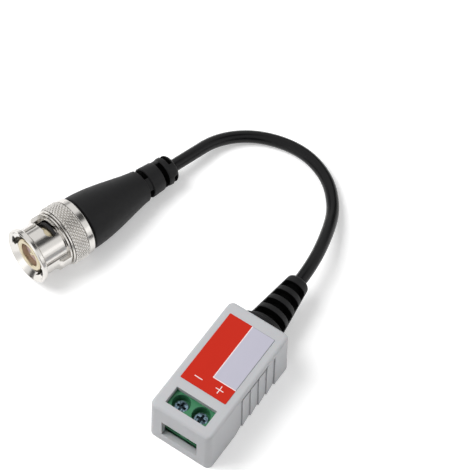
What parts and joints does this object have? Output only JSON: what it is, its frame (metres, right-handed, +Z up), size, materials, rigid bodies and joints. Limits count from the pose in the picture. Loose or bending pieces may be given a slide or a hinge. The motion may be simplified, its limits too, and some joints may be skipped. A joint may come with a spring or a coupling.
{
  "type": "video balun",
  "caption": "Small passive converter box with screw terminals, a slotted strain relief and a short coaxial lead that ends in a bayonet plug with a knurled coupling nut.",
  "frame": {"origin": "middle of the housing's bottom, on the surface that it stands on", "axes": "+X from the screw terminals to the lead, +Z up, +Y completes the right-handed frame"},
  "size_m": [0.0803, 0.0672, 0.015],
  "materials": {
    "housing_plastic": "satin moulded",
    "label_print": "printed film",
    "board": "solder mask",
    "terminal_green": "moulded",
    "zinc_steel": "zinc plated",
    "tinned_brass": "tin plated",
    "ferrite": "sintered",
    "copper_wire": "enamelled",
    "capacitor_blue": "dipped",
    "component_black": "moulded",
    "coax_insulation": "extruded",
    "black_moulding": "matt",
    "cable_jacket": "extruded",
    "nickel": "nickel plated",
    "spring_steel": "bright",
    "gold_plate": "gold plated",
    "gasket_rubber": "moulded",
    "insulator_plastic": "turned"
  },
  "bodies": {
    "housing": {"housing_shell": "housing_plastic", "base_cover": "housing_plastic", "label": "label_print", "circuit_board": "board", "terminal_block": "terminal_green", "contact_plus": "tinned_brass", "contact_minus": "tinned_brass", "ferrite_core": "ferrite", "choke_winding": "copper_wire", "capacitor": "capacitor_blue", "surge_diode": "component_black", "chip_resistors": "component_black", "coax_core": "coax_insulation", "coax_end": "coax_insulation", "shield_pigtail": "copper_wire", "strain_relief": "black_moulding", "plug_boot": "black_moulding", "cable": "cable_jacket", "plug_body": "nickel", "crimp_ferrule": "nickel", "wave_washer": "spring_steel", "outer_contact": "gold_plate", "centre_pin": "gold_plate", "gasket": "gasket_rubber", "insulator": "insulator_plastic"},
    "washer": {"thrust_washer": "nickel"},
    "nut": {"coupling_nut": "nickel", "retaining_ring": "nickel"},
    "screw_plus": {"terminal_screw_plus": "zinc_steel"},
    "cage_plus": {"wire_cage_plus": "zinc_steel"},
    "screw_minus": {"terminal_screw_minus": "zinc_steel"},
    "cage_minus": {"wire_cage_minus": "zinc_steel"}
  },
  "joints": [
    {"name": "coupling_pull", "type": "slide", "parent": "housing", "child": "washer", "axis": [-0.9594, 0.2673, 0.0898], "range_m": [0, 0.0008], "stiffness_N_per_m": 5000, "springref_m": -0.0004, "deforming": ["wave_washer"]},
    {"name": "coupling_turn", "type": "hinge", "parent": "washer", "child": "nut", "pos_m": [0.00057, 0.05284, 0.0083], "axis": [0.9594, -0.2673, -0.0898], "continuous": true},
    {"name": "screw_turn_plus", "type": "hinge", "parent": "housing", "child": "screw_plus", "pos_m": [-0.01087, -0.00254, 0.0107], "axis": [0, 0, -1], "range_deg": [0, 1201]},
    {"name": "cage_rise_plus", "type": "slide", "parent": "housing", "child": "cage_plus", "axis": [0, 0, 1], "range_m": [0, 0.0015]},
    {"name": "screw_turn_minus", "type": "hinge", "parent": "housing", "child": "screw_minus", "pos_m": [-0.01087, 0.00254, 0.0107], "axis": [0, 0, -1], "range_deg": [0, 1201]},
    {"name": "cage_rise_minus", "type": "slide", "parent": "housing", "child": "cage_minus", "axis": [0, 0, 1], "range_m": [0, 0.0015]}
  ],
  "couplings": [
    {"joint": "screw_turn_plus", "follows": "cage_rise_plus", "rad_per_m": 13963},
    {"joint": "screw_turn_minus", "follows": "cage_rise_minus", "rad_per_m": 13963}
  ]
}
